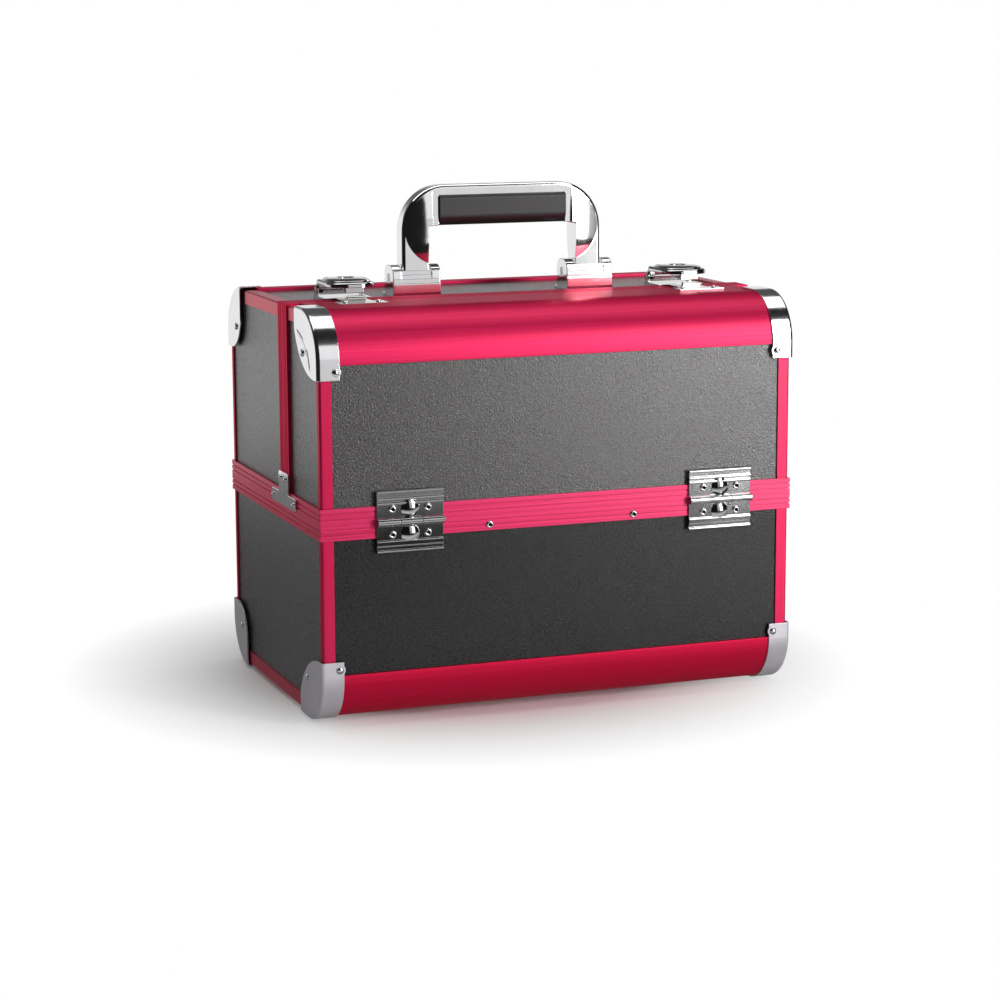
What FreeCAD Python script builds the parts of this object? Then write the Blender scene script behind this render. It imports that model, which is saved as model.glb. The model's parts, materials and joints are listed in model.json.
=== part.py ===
import FreeCAD, Part
import math
import os
import re
import Sketcher

# A makeup train case: a box base, two lids that part along a seam on top and swing
# outwards on hinges, four trays that cantilever out level with the lids, two key
# latches across the seam and a folding carrying handle.
# Frame: X to the right, the front face towards -Y, Z up, origin on the floor under
# the middle of the case. Lengths are millimetres and angles are degrees.

SIZES = {
    # outer box over the aluminium sections
    "case_width": 320,
    "case_depth": 210,
    "case_height": 260,
    "foot_height": 2,
    "foot_radius": 9,
    "foot_setback": 38,
    "parting_height": 129.5,
    "front_lid_depth": 77,
    # aluminium sections
    "edge_radius": 31,
    "profile_wall": 2,
    "profile_lip": 1,
    "profile_flat": 9,
    "profile_setback": 10,
    "rail_height": 10,
    "rail_depth": 7,
    "seam_rail": 10,
    "groove_width": 0.8,
    "groove_depth": 0.6,
    "post_front": 8,
    "post_side": 5,
    "post_wall": 1,
    "post_round": 1.5,
    "angle_leg": 8,
    # boards and lining
    "panel_wall": 3.5,
    "lining_wall": 1,
    # corner caps
    "cap_wall": 1,
    "cap_band": 14,
    "cap_drop": 41,
    "cap_round": 2.5,
    "cap_foot": 6,
    "cap_ear": 3.6,
    "cap_ear_rise": 5,
    "front_lobe": 46,
    "front_lobe_flat": 13,
    "back_lobe": 33,
    "back_lobe_flat": 22,
    "lobe_bulge": 7,
    "lobe_rivet_drop": 26.4,
    "front_lobe_rivet": 28.5,
    "back_lobe_rivet": 23.4,
    # hinges
    "hinge_left": 102,
    "hinge_right": 109,
    "hinge_width": 43.5,
    "leaf_height": 19.5,
    "leaf_wall": 1.2,
    "leaf_clear": 2.6,
    "leaf_bead": 0.9,
    "leaf_bead_edge": 0.9,
    "leaf_bead_next": 5.2,
    "leaf_bead_last": 8,
    "leaf_band_near": 4.7,
    "leaf_band_far": 7,
    "leaf_boss": 6,
    "leaf_boss_height": 1.8,
    "barrel_radius": 2.5,
    "barrel_gap": 0.3,
    "hinge_pin": 1.2,
    "pin_fit": 0.05,
    # seam plates on the sides
    "seam_plate_wall": 1.2,
    "seam_plate_leg": 11,
    "seam_plate_foot": 27,
    "seam_plate_height": 22,
    "seam_plate_sole": 8.5,
    "seam_plate_toe": 1.5,
    "seam_plate_crown": 3,
    "seam_gap": 0.3,
    # tray linkage
    "lean": 45,
    "crank_low": 26,
    "crank_high": 79,
    "link_front": 14.5,
    "link_back": 30,
    "link_rise": 1,
    "link_pin": 2,
    "arm_half": 3.5,
    "arm_wall": 1.5,
    "arm_gap": 0.3,
    "bracket_wall": 1.5,
    "bracket_half": 4.4,
    "bracket_crown": 4.3,
    # trays
    "tray_height": 36.5,
    "tray_wall": 2,
    "tray_round": 6,
    "tray_gap": 1.5,
    "tray_seam_gap": 5,
    "tray_pivot_rise": 6,
    # handle
    "handle_back": 28,
    "handle_left": 3,
    "handle_width": 139,
    "handle_rise": 70,
    "handle_leg": 18,
    "handle_depth": 13,
    "handle_corner": 30,
    "handle_band": 7,
    "pivot_rise": 10,
    "handle_pin": 2.5,
    "handle_edge": 2.5,
    "handle_inner_round": 2,
    "dome_radius": 24,
    "dome_rise": 2.4,
    "dome_x": 43.5,
    "dome_drop": 28,
    "dome_lap": 3,
    "ferrule": 7.5,
    "grip_height": 19.6,
    "grip_half": 8.5,
    "grip_round": 7,
    "grip_top_round": 2.3,
    "ear_wall": 5.8,
    "ear_gap": 1.4,
    "ear_half": 8.5,
    "ear_crown": 6.5,
    "ear_rise": 8.5,
    "bracket_plate": 2,
    "bracket_front": 10,
    "bracket_back": 13,
    "bracket_sill": 4,
    "bracket_rivet_inset": 2.5,
    "web_rise": 15,
    "web_gap": 0.4,
    "web_wall": 1.6,
    "web_step": 0.5,
    "web_steps": 3,
    # latches
    "latch_x": 115.7,
    "latch_half": 15.75,
    "latch_plate": 1.2,
    "latch_plate_gap": 1.3,
    "latch_back": 26,
    "lever_reach": 14,
    "lever_lift": 8.8,
    "lever_wall": 3.2,
    "lever_round": 12,
    "lever_tail_round": 6,
    "lever_edge": 2,
    "latch_pin": 1.2,
    "latch_pin_back": 21.5,
    "latch_pin_rise": 5.5,
    "cheek_half": 2.7,
    "cheek_wall": 1.5,
    "lug_wall": 3,
    "lug_gap": 0.3,
    "claw_drop": 3.2,
    "claw_wall": 3,
    "claw_half": 6,
    "claw_setback": 0.5,
    "lock_radius": 4.5,
    "lock_back": 6,
    "lock_rise": 0.7,
    "keyhole_width": 1.4,
    "keyhole_length": 5,
    "keyhole_depth": 2,
    "keeper_front": 34,
    "keeper_half": 9,
    "keeper_wing": 12,
    "keeper_hook": 1.9,
    "keeper_hook_front": 15.5,
    "keeper_rivet_x": 11,
    # rivets
    "rivet_radius": 2,
    "rivet_crown": 1.1,
    "rivet_height": 0.9,
    "small_rivet": 1.4,
    "small_rivet_crown": 0.8,
    "rim_rivet_x": 49,
    "rim_rivet_rise": 3.7,
    "plate_rivet_inset": 4,
    "hinge_rivet_x": 11.6,
    "hinge_rivet_z": 8,
}

DERIVED = {
    "half_width": "=case_width / 2",
    "half_depth": "=case_depth / 2",
    "seam_y": "=front_lid_depth - half_depth",
    "panel_x": "=half_width - profile_wall",
    "panel_y": "=half_depth - profile_wall",
    "inner_x": "=panel_x - panel_wall",
    "inner_y": "=panel_y - panel_wall",
    "bottom_z": "=foot_height + profile_wall",
    "bottom_in": "=bottom_z + panel_wall",
    "top_z": "=case_height - profile_wall",
    "top_in": "=top_z - panel_wall",
    "corner_in": "=edge_radius - profile_wall - panel_wall",
    "arc_y": "=half_depth - edge_radius",
    "arc_top": "=case_height - edge_radius",
    "arc_bottom": "=foot_height + edge_radius",
    "base_rim_z": "=parting_height - rail_height",
    "lid_rim_z": "=parting_height + rail_height",
    "rail_in_x": "=half_width - rail_depth",
    "rail_in_y": "=half_depth - rail_depth",
    "profile_x": "=half_width - profile_setback",
    "post_x": "=panel_x + post_wall",
    "post_y": "=panel_y + post_wall",
    "lining_x": "=inner_x - lining_wall",
    "hinge_y": "=half_depth + barrel_radius + barrel_gap",
    "hinge_bore": "=hinge_pin + pin_fit",
    "leaf_y": "=half_depth + leaf_wall",
    "boss_ball": "=(leaf_boss * leaf_boss + leaf_boss_height * leaf_boss_height) / (2 * leaf_boss_height)",
    "arm_out": "=rail_in_x - bracket_wall - arm_gap",
    "arm_in": "=arm_out - arm_wall",
    "tray_x": "=arm_in - arm_gap",
    "tray_in_x": "=tray_x - tray_wall",
    "tray_out_y": "=inner_y - lining_wall - tray_gap",
    "low_y": "=hinge_y - crank_low * sin(lean * 1deg)",
    "low_z": "=parting_height + crank_low * cos(lean * 1deg)",
    "high_y": "=hinge_y - crank_high * sin(lean * 1deg)",
    "high_z": "=parting_height + crank_high * cos(lean * 1deg)",
    "link_hole": "=link_pin + pin_fit",
    "arm_z": "=parting_height + link_rise",
    "handle_y": "=seam_y + handle_back",
    "handle_half": "=handle_width / 2",
    "handle_top": "=case_height + handle_rise",
    "handle_pivot": "=case_height + pivot_rise",
    "dome_ball": "=(dome_radius * dome_radius + dome_rise * dome_rise) / (2 * dome_rise)",
    "dome_reach": "=handle_depth / 2 + dome_rise",
    "leg_in": "=handle_half - handle_leg",
    "band_z": "=handle_top - handle_band",
    "grip_x": "=leg_in - ferrule",
    "grip_z": "=band_z - grip_height",
    "ear_in": "=leg_in - ear_gap",
    "ear_out": "=handle_half + ear_gap",
    "handle_bore": "=handle_pin + pin_fit",
    "leg_front": "=handle_y - handle_depth / 2",
    "leg_back": "=handle_y + handle_depth / 2",
    "bracket_top": "=top_z + bracket_plate",
    "web_y": "=leg_front - web_gap",
    "latch_pin_y": "=seam_y + latch_pin_back",
    "latch_pin_z": "=case_height + latch_pin_rise",
    "latch_bore": "=latch_pin + pin_fit",
    "lever_z": "=case_height + lever_lift",
    "lever_top": "=lever_z + lever_wall",
    "lock_y": "=seam_y + lock_back",
    "lock_bore": "=lock_radius + pin_fit",
}

doc = FreeCAD.newDocument("TrainCase")
sheet = doc.addObject("Spreadsheet::Sheet", "Sizes")
nodes = []

Vector = FreeCAD.Vector
X_AXIS = Vector(1, 0, 0)
Y_AXIS = Vector(0, 1, 0)
Z_AXIS = Vector(0, 0, 1)
MIRROR = {"x": X_AXIS, "y": Y_AXIS, "z": Z_AXIS}
# turns that take +Z to each direction
TURN = {
    "+x": FreeCAD.Rotation(Y_AXIS, 90),
    "-x": FreeCAD.Rotation(Y_AXIS, -90),
    "+y": FreeCAD.Rotation(X_AXIS, -90),
    "-y": FreeCAD.Rotation(X_AXIS, 90),
    "+z": FreeCAD.Rotation(),
    "-z": FreeCAD.Rotation(X_AXIS, 180),
}
FRONT = -1
BACK = 1
# two coordinates nearer than this are the same
NEAR = 0.01
# how far a cutting tool runs past what it cuts
PAST = 1


def fill_sheet():
    """Write the driving sizes and what follows from them into the sheet."""
    row = 0
    for table in (SIZES, DERIVED):
        for alias, content in table.items():
            row += 1
            sheet.set("A%d" % row, alias)
            sheet.set("B%d" % row, str(content))
            sheet.setAlias("B%d" % row, alias)
    doc.recompute()


def cells(expression):
    """Turn the bare size names of an expression into cells of the sheet."""
    def cell(match):
        word = match.group()
        return "Sizes." + word if word in SIZES or word in DERIVED else word
    return re.sub(r"[a-z]\w*", cell, str(expression))


def value(expression):
    """The number that an expression of sizes comes to."""
    return float(sheet.evalExpression(cells(expression)))


def bind(piece, prop, expression):
    piece.setExpression(prop, cells(expression))


def place(piece, x, y, z):
    for along, expression in zip("xyz", (x, y, z)):
        bind(piece, "Placement.Base." + along, expression)


def towards(side, expression):
    """A distance from the middle of the case towards its front or back."""
    return "%d * (%s)" % (side, expression)


def from_seam(side, expression):
    """A distance from the seam towards the front or back."""
    return "seam_y + %d * (%s)" % (side, expression)


def span(side, near, far):
    """The low and high Y of a stretch between two distances from the middle."""
    if side == FRONT:
        return towards(side, far), towards(side, near)
    return towards(side, near), towards(side, far)


def seam_span(side, near, far):
    """The low and high Y of a stretch between two distances from the seam."""
    if side == FRONT:
        return from_seam(side, far), from_seam(side, near)
    return from_seam(side, near), from_seam(side, far)


def box(name, x, y, z):
    """A block between pairs of coordinates."""
    block = doc.addObject("Part::Box", name)
    for size, (low, high) in zip(("Length", "Width", "Height"), (x, y, z)):
        bind(block, size, "(%s) - (%s)" % (high, low))
    place(block, x[0], y[0], z[0])
    return block


def rod(name, axis, ends, centre, radius):
    """A cylinder along an axis; centre holds its other two coordinates."""
    bar = doc.addObject("Part::Cylinder", name)
    bar.Placement = FreeCAD.Placement(Vector(), TURN["+" + axis])
    low, high = ends
    bind(bar, "Radius", radius)
    bind(bar, "Height", "(%s) - (%s)" % (high, low))
    where = list(centre)
    where.insert("xyz".index(axis), low)
    place(bar, *where)
    return bar


def rivet(name, direction, x, y, z, small=False):
    """A low rivet head that stands on a face and points along a direction."""
    head = doc.addObject("Part::Cone", name)
    head.Placement = FreeCAD.Placement(Vector(), TURN[direction])
    bind(head, "Radius1", "small_rivet" if small else "rivet_radius")
    bind(head, "Radius2", "small_rivet_crown" if small else "rivet_crown")
    bind(head, "Height", "rivet_height")
    place(head, x, y, z)
    return head


def fuse(name, pieces):
    joined = doc.addObject("Part::MultiFuse", name)
    joined.Shapes = pieces
    return joined


def cut(name, base, tools):
    result = doc.addObject("Part::Cut", name)
    result.Base = base
    result.Tool = tools[0] if len(tools) == 1 else fuse(name + "_tools", tools)
    return result


def mirrored(name, source, axis="x"):
    copy = doc.addObject("Part::Mirroring", name)
    copy.Source = source
    copy.Normal = MIRROR[axis]
    return copy


def node(label, pieces):
    """Name a finished sub-part; several pieces of one kind share a node."""
    if len(pieces) == 1:
        part = pieces[0]
    else:
        part = doc.addObject("Part::Compound", label)
        part.Links = pieces
    part.Label = label
    nodes.append(part)
    return part


def pair(label, piece):
    """A sub-part that is the same on the left and the right."""
    return node(label, [piece, mirrored(label + "_mirror", piece)])


def corner_geometry(before, corner, after, radius):
    """Arc of a rounded corner: its two ends, and whether it turns left."""
    to_before = (before - corner).normalize()
    to_after = (after - corner).normalize()
    half = to_before.getAngle(to_after) / 2
    reach = radius / math.tan(half)
    start = corner + to_before * reach
    end = corner + to_after * reach
    middle = corner + (to_before + to_after).normalize() * (radius / math.sin(half))
    left_turn = to_after.cross(to_before).z > 0
    return start, end, middle, left_turn


def arc_between(middle, radius, start, end):
    first = math.atan2(start.y - middle.y, start.x - middle.x)
    last = math.atan2(end.y - middle.y, end.x - middle.x)
    circle = Part.Circle(middle, Z_AXIS, radius)
    return Part.ArcOfCircle(circle, first, last)


def draw_outline(sketch, points):
    """Draw a closed outline whose edges and corner radii are bound to the sheet.

    A point is (u, v), or (u, v, radius) where its corner is rounded. An edge
    whose ends share an expression is upright or level.
    """
    count = len(points)
    flat = [Vector(value(point[0]), value(point[1]), 0) for point in points]
    starts = list(flat)
    ends = list(flat)
    arcs = {}
    for i, point in enumerate(points):
        if len(point) == 3:
            radius = value(point[2])
            ends[i], starts[i], middle, left = corner_geometry(
                flat[i - 1], flat[i], flat[(i + 1) % count], radius)
            turn = (ends[i], starts[i]) if left else (starts[i], ends[i])
            arc = sketch.addGeometry(arc_between(middle, radius, *turn))
            arcs[i] = (arc, 1, 2) if left else (arc, 2, 1)
    lines = []
    for i in range(count):
        lines.append(sketch.addGeometry(Part.LineSegment(starts[i], ends[(i + 1) % count])))

    def fix(kind, line, expression):
        at = sketch.addConstraint(Sketcher.Constraint(kind, -1, 1, line, 1, value(expression)))
        bind(sketch, "Constraints[%d]" % at, expression)

    upright = []
    level = []
    for i, point in enumerate(points):
        following = points[(i + 1) % count]
        upright.append(point[0] == following[0])
        level.append(point[1] == following[1])
    for i, point in enumerate(points):
        if i in arcs:
            arc, enter, leave = arcs[i]
            sketch.addConstraint(Sketcher.Constraint("Tangent", lines[i - 1], 2, arc, enter))
            sketch.addConstraint(Sketcher.Constraint("Tangent", arc, leave, lines[i], 1))
            at = sketch.addConstraint(Sketcher.Constraint("Radius", arc, value(point[2])))
            bind(sketch, "Constraints[%d]" % at, point[2])
        else:
            sketch.addConstraint(Sketcher.Constraint("Coincident", lines[i - 1], 2, lines[i], 1))
            if not upright[i - 1] and not upright[i]:
                fix("DistanceX", lines[i], point[0])
            if not level[i - 1] and not level[i]:
                fix("DistanceY", lines[i], point[1])
        if upright[i]:
            sketch.addConstraint(Sketcher.Constraint("Vertical", lines[i]))
            fix("DistanceX", lines[i], point[0])
        if level[i]:
            sketch.addConstraint(Sketcher.Constraint("Horizontal", lines[i]))
            fix("DistanceY", lines[i], point[1])


def pad(name, plane, points, low, high):
    """A body padded from an outline between two coordinates across its plane."""
    body = doc.addObject("PartDesign::Body", name)
    sketch = body.newObject("Sketcher::SketchObject", name + "_outline")
    origin = [one for one in body.Origin.OriginFeatures if one.Role == plane + "_Plane"][0]
    sketch.AttachmentSupport = [(origin, "")]
    sketch.MapMode = "FlatFace"
    draw_outline(sketch, points)
    # the normal of the XZ plane points towards -Y
    offset = "-(%s)" % high if plane == "XZ" else low
    bind(sketch, "AttachmentOffset.Base.z", offset)
    solid = body.newObject("PartDesign::Pad", name + "_pad")
    solid.Profile = sketch
    bind(solid, "Length", "(%s) - (%s)" % (high, low))
    return body


def soften(body, radius, chosen):
    """Round the edges of a body that the test picks."""
    doc.recompute()
    base = body.Tip
    names = ["Edge%d" % (i + 1) for i, edge in enumerate(base.Shape.Edges) if chosen(edge)]
    rounding = body.newObject("PartDesign::Fillet", body.Name + "_rounding")
    rounding.Base = (base, names)
    bind(rounding, "Radius", radius)
    return body


def shaped(name, shape):
    """A piece whose shape is worked out here from the sheet."""
    feature = doc.addObject("Part::Feature", name)
    feature.Shape = shape
    feature.Placement = FreeCAD.Placement()
    return feature


def both(expression):
    return "-(%s)" % expression, expression


def side_outline(side, near, low, high):
    """Inner outline of a lid's end, with the rounded top corner."""
    return [
        (towards(side, "inner_y"), low),
        (towards(side, "inner_y"), high, "corner_in"),
        (near, high),
        (near, low),
    ]


# The base


def base_panels():
    across = both("panel_x")
    upright = ("arc_bottom", "base_rim_z")
    node("base_front_panel", [box("base_front_board", across, span(FRONT, "inner_y", "panel_y"), upright)])
    node("base_back_panel", [box("base_back_board", across, span(BACK, "inner_y", "panel_y"), upright)])
    node("base_bottom_panel", [box("base_floor_board", across, both("arc_y"), ("bottom_z", "bottom_in"))])
    end = [
        ("-inner_y", "base_rim_z"),
        ("-inner_y", "bottom_in", "corner_in"),
        ("inner_y", "bottom_in", "corner_in"),
        ("inner_y", "base_rim_z"),
    ]
    pair("base_side_panels", pad("base_end_board", "YZ", end, "inner_x", "panel_x"))


def base_profiles():
    sections = []
    for side, name in ((FRONT, "front"), (BACK, "back")):
        outline = [
            (towards(side, "half_depth"), "arc_bottom + profile_lip"),
            (towards(side, "half_depth"), "foot_height", "edge_radius"),
            (towards(side, "arc_y - profile_flat"), "foot_height"),
            (towards(side, "arc_y - profile_flat"), "bottom_z"),
            (towards(side, "panel_y"), "bottom_z", "edge_radius - profile_wall"),
            (towards(side, "panel_y"), "arc_bottom + profile_lip"),
        ]
        sections.append(pad("base_%s_profile" % name, "YZ", outline, *both("profile_x")))
    node("base_edge_profiles", sections)


def corner_post(name, side, low, high):
    """Angle section over an upright corner, on the right."""
    outline = [
        ("post_x", towards(side, "post_y"), "post_round"),
        ("post_x - post_front", towards(side, "post_y")),
        ("post_x - post_front", towards(side, "panel_y")),
        ("panel_x", towards(side, "panel_y")),
        ("panel_x", towards(side, "post_y - post_side")),
        ("post_x", towards(side, "post_y - post_side")),
    ]
    return pad(name, "XY", outline, low, high)


def base_posts():
    posts = []
    for side, name in ((FRONT, "front"), (BACK, "back")):
        post = corner_post("base_%s_post" % name, side, "arc_bottom", "base_rim_z")
        posts += [post, mirrored("base_%s_post_mirror" % name, post)]
    node("base_corner_posts", posts)


def rim_rail_across(name, side, low, high):
    """Rim rail along the front or back, mitred at both ends."""
    outline = [
        ("-half_width", towards(side, "half_depth")),
        ("half_width", towards(side, "half_depth")),
        ("rail_in_x", towards(side, "rail_in_y")),
        ("-rail_in_x", towards(side, "rail_in_y")),
    ]
    return pad(name, "XY", outline, low, high)


def rim_grooves(name, low):
    """Two shallow grooves round the outside of a rim."""
    rings = []
    for third in (1, 2):
        middle = "%s + rail_height * %d / 3" % (low, third)
        height = ("%s - groove_width / 2" % middle, "%s + groove_width / 2" % middle)
        outer = box("%s_out%d" % (name, third), both("half_width + %s" % PAST),
                    both("half_depth + %s" % PAST), height)
        inner = box("%s_in%d" % (name, third), both("half_width - groove_depth"),
                    both("half_depth - groove_depth"), height)
        rings.append(cut("%s_ring%d" % (name, third), outer, [inner]))
    return rings


def base_rails():
    height = ("base_rim_z", "parting_height")
    rails = [
        rim_rail_across("base_front_rail", FRONT, *height),
        rim_rail_across("base_back_rail", BACK, *height),
    ]
    end = [
        ("half_width", "-half_depth"),
        ("half_width", "half_depth"),
        ("rail_in_x", "rail_in_y"),
        ("rail_in_x", "-rail_in_y"),
    ]
    side_rail = pad("base_side_rail", "XY", end, *height)
    rails += [side_rail, mirrored("base_side_rail_mirror", side_rail)]
    grooves = rim_grooves("base_rim_groove", "base_rim_z")
    whole = [cut("%s_grooved" % rail.Name, rail, grooves) for rail in rails]
    node("base_rim_rails", whole)


def base_angles():
    outline = [
        ("post_x", "bottom_z - post_wall", "post_round"),
        ("post_x", "bottom_z + angle_leg"),
        ("panel_x", "bottom_z + angle_leg"),
        ("panel_x", "bottom_z"),
        ("profile_x", "bottom_z"),
        ("profile_x", "bottom_z - post_wall"),
    ]
    pair("base_bottom_angles", pad("base_bottom_angle", "XZ", outline, *both("arc_y")))


def base_lining():
    outer = [
        ("-inner_y", "base_rim_z"),
        ("-inner_y", "bottom_in", "corner_in"),
        ("inner_y", "bottom_in", "corner_in"),
        ("inner_y", "base_rim_z"),
    ]
    inner = [
        ("-(inner_y - lining_wall)", "base_rim_z + lining_wall"),
        ("-(inner_y - lining_wall)", "bottom_in + lining_wall", "corner_in - lining_wall"),
        ("inner_y - lining_wall", "bottom_in + lining_wall", "corner_in - lining_wall"),
        ("inner_y - lining_wall", "base_rim_z + lining_wall"),
    ]
    skin = pad("base_lining_skin", "YZ", outer, *both("inner_x"))
    hollow = pad("base_lining_hollow", "YZ", inner, *both("lining_x"))
    node("base_lining", [cut("base_lining_shell", skin, [hollow])])


def feet():
    pads = []
    for x in both("half_width - foot_setback"):
        for y in both("arc_y - foot_radius - profile_flat"):
            pads.append(rod("foot", "z", ("0", "bottom_z"), (x, y), "foot_radius"))
    node("feet", pads)


# Corner caps


# the small riveted ear on a cap's front band
EAR_X = "half_width - cap_band + cap_ear * 3 / 4"
EAR_Z = "case_height - cap_drop + cap_ear_rise"


def cap_region(grow, end_y, end_z, foot_y, low_z, bulge):
    """Face of a top front cap seen from its end, before it is given depth."""
    half_depth = value("half_depth") + grow
    radius = value("edge_radius") + grow
    arc_y = value("arc_y")
    arc_z = value("arc_top")
    top = value("case_height") + grow
    slant = radius * math.sqrt(0.5)
    edges = [
        Part.LineSegment(Vector(0, -half_depth, low_z), Vector(0, -half_depth, arc_z)),
        Part.Arc(Vector(0, -half_depth, arc_z), Vector(0, -arc_y - slant, arc_z + slant),
                 Vector(0, -arc_y, top)),
        Part.LineSegment(Vector(0, -arc_y, top), Vector(0, end_y, top)),
        Part.LineSegment(Vector(0, end_y, top), Vector(0, end_y, end_z)),
    ]
    start = Vector(0, end_y, end_z)
    end = Vector(0, foot_y, low_z)
    if bulge:
        across = (end - start).cross(X_AXIS).normalize()
        edges.append(Part.Arc(start, (start + end) / 2 - across * bulge, end))
    else:
        edges.append(Part.LineSegment(start, end))
    edges.append(Part.LineSegment(end, Vector(0, -half_depth, low_z)))
    return Part.Face(Part.Wire([edge.toShape() for edge in edges]))


def rounded_rim(solid, rim_x, grow, radius):
    """Round the edge where a cap turns from the end to the front and top."""
    front = -value("half_depth") - grow
    top = value("case_height") + grow
    chosen = []
    for edge in solid.Edges:
        middle = edge.valueAt((edge.FirstParameter + edge.LastParameter) / 2)
        on_rim = all(abs(corner.X - rim_x) < NEAR for corner in edge.Vertexes)
        reach = math.hypot(middle.y + value("arc_y"), middle.z - value("arc_top"))
        on_arc = abs(reach - value("edge_radius") - grow) < NEAR
        if on_rim and (on_arc or abs(middle.y - front) < NEAR or abs(middle.z - top) < NEAR):
            chosen.append(edge)
    return solid.makeFillet(radius, chosen)


def corner_cap(lobe, flat):
    """Pressed cap of the top front right corner: a band over the edge and an end lobe."""
    wall = value("cap_wall")
    half_width = value("half_width")
    half_depth = value("half_depth")
    low_z = value("case_height - cap_drop")
    end_y = value(lobe) - half_depth
    depth = value("cap_band")
    outside = cap_region(wall, end_y, value("case_height") - value(flat),
                         value("cap_foot") - half_depth, low_z, value("lobe_bulge"))
    outside.translate(Vector(half_width + wall, 0, 0))
    block = outside.extrude(Vector(-depth - wall, 0, 0))
    block = rounded_rim(block, half_width + wall, wall, value("cap_round"))
    spare = depth
    inside = cap_region(0, end_y + spare, low_z - spare, end_y, low_z - spare, 0)
    inside.translate(Vector(half_width, 0, 0))
    core = inside.extrude(Vector(-depth - spare, 0, 0))
    core = rounded_rim(core, half_width, 0, value("cap_round") - wall)
    root = Vector(value(EAR_X), -half_depth - wall, value(EAR_Z))
    ear = Part.makeCylinder(value("cap_ear"), wall, root, Y_AXIS)
    return block.cut(core).fuse(ear).removeSplitter()


def cap_set(fronts, turned_down):
    """The caps of a lid or of the base, on the left and right."""
    caps = []
    for side in fronts:
        lobe = "front_lobe" if side == FRONT else "back_lobe"
        cap = corner_cap(lobe, lobe + "_flat")
        if side == BACK:
            cap = cap.mirror(Vector(), Y_AXIS)
        if turned_down:
            middle = Vector(0, 0, value("(case_height + foot_height) / 2"))
            cap = cap.mirror(middle, Z_AXIS)
        caps += [cap, cap.mirror(Vector(), X_AXIS)]
    return Part.makeCompound(caps)


def corner_caps():
    node("base_corner_caps", [shaped("base_caps", cap_set((FRONT, BACK), True))])
    node("front_lid_corner_caps", [shaped("front_lid_caps", cap_set((FRONT,), False))])
    node("back_lid_corner_caps", [shaped("back_lid_caps", cap_set((BACK,), False))])


# Hinges


def swelling(name, column, side, reach, radius, x, z):
    """The round cap of a large ball that stands out of a face, kept inside a column."""
    ball = doc.addObject("Part::Sphere", name + "_ball")
    bind(ball, "Radius", radius)
    place(ball, x, "%d * (%s - %s)" % (side, reach, radius), z)
    cap = doc.addObject("Part::MultiCommon", name)
    cap.Shapes = [column, ball]
    return cap


def hinge_leaf(name, side, up, x):
    """One leaf: a beaded plate, its knuckles on the barrel line and a raised boss."""
    def height(near, far):
        low, high = (near, far) if up > 0 else ("-(%s)" % far, "-(%s)" % near)
        return "parting_height + " + low, "parting_height + " + high

    half = "hinge_width / 2"
    plate_y = span(side, "half_depth", "leaf_y")
    pieces = [
        box(name + "_plate", ("%s - %s" % (x, half), "%s + %s" % (x, half)), plate_y,
            height("leaf_clear", "leaf_height")),
    ]
    sixth = "hinge_width / 6"
    if up > 0:
        knuckles = [("%s - %s + barrel_gap" % (x, sixth), "%s + %s - barrel_gap" % (x, sixth))]
    else:
        knuckles = [
            ("%s - %s" % (x, half), "%s - %s" % (x, sixth)),
            ("%s + %s" % (x, sixth), "%s + %s" % (x, half)),
        ]
    barrel = (towards(side, "hinge_y"), "parting_height")
    for i, ends in enumerate(knuckles):
        pieces.append(rod("%s_knuckle%d" % (name, i), "x", ends, barrel, "barrel_radius"))
        pieces.append(box("%s_web%d" % (name, i), ends, plate_y, height("barrel_gap", "leaf_clear")))
    ends = ("%s - %s" % (x, half), "%s + %s" % (x, half))
    if up > 0:
        beads = ("leaf_bead_edge", "leaf_bead_next", "leaf_bead_last")
    else:
        beads = ("leaf_bead_edge", "leaf_band_near", "leaf_band_far")
        pieces.append(box(name + "_band", ends, span(side, "leaf_y", "leaf_y + leaf_bead"),
                          height("leaf_height - leaf_band_far", "leaf_height - leaf_band_near")))
    for i, inset in enumerate(beads):
        line = (towards(side, "leaf_y"), "parting_height + %d * (leaf_height - %s)" % (up, inset))
        pieces.append(rod("%s_bead%d" % (name, i), "x", ends, line, "leaf_bead"))
    column = box(name + "_boss_column", ("%s - leaf_boss" % x, "%s + leaf_boss" % x),
                 span(side, "half_depth", "leaf_y + leaf_boss_height"),
                 height("leaf_clear", "hinge_rivet_z + leaf_boss"))
    pieces.append(swelling(name + "_boss", column, side, "leaf_y + leaf_boss_height", "boss_ball", x,
                           "parting_height + %d * hinge_rivet_z" % up))
    solid = fuse(name + "_solid", pieces)
    bore = rod(name + "_bore", "x", ("%s - hinge_width" % x, "%s + hinge_width" % x), barrel, "hinge_bore")
    return cut(name, solid, [bore])


HINGES = (("left", "-hinge_left"), ("right", "hinge_right"))


def hinges():
    base_leaves = []
    pins = []
    for side, lid in ((FRONT, "front"), (BACK, "back")):
        lid_leaves = []
        for hand, x in HINGES:
            name = "%s_%s" % (lid, hand)
            base_leaves.append(hinge_leaf("base_leaf_" + name, side, -1, x))
            lid_leaves.append(hinge_leaf("lid_leaf_" + name, side, 1, x))
            ends = ("%s - hinge_width / 2" % x, "%s + hinge_width / 2" % x)
            pins.append(rod("hinge_pin_" + name, "x", ends,
                            (towards(side, "hinge_y"), "parting_height"), "hinge_pin"))
        node("%s_lid_hinge_leaves" % lid, lid_leaves)
    node("base_hinge_leaves", base_leaves)
    node("hinge_pins", pins)


# The lids


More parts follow.
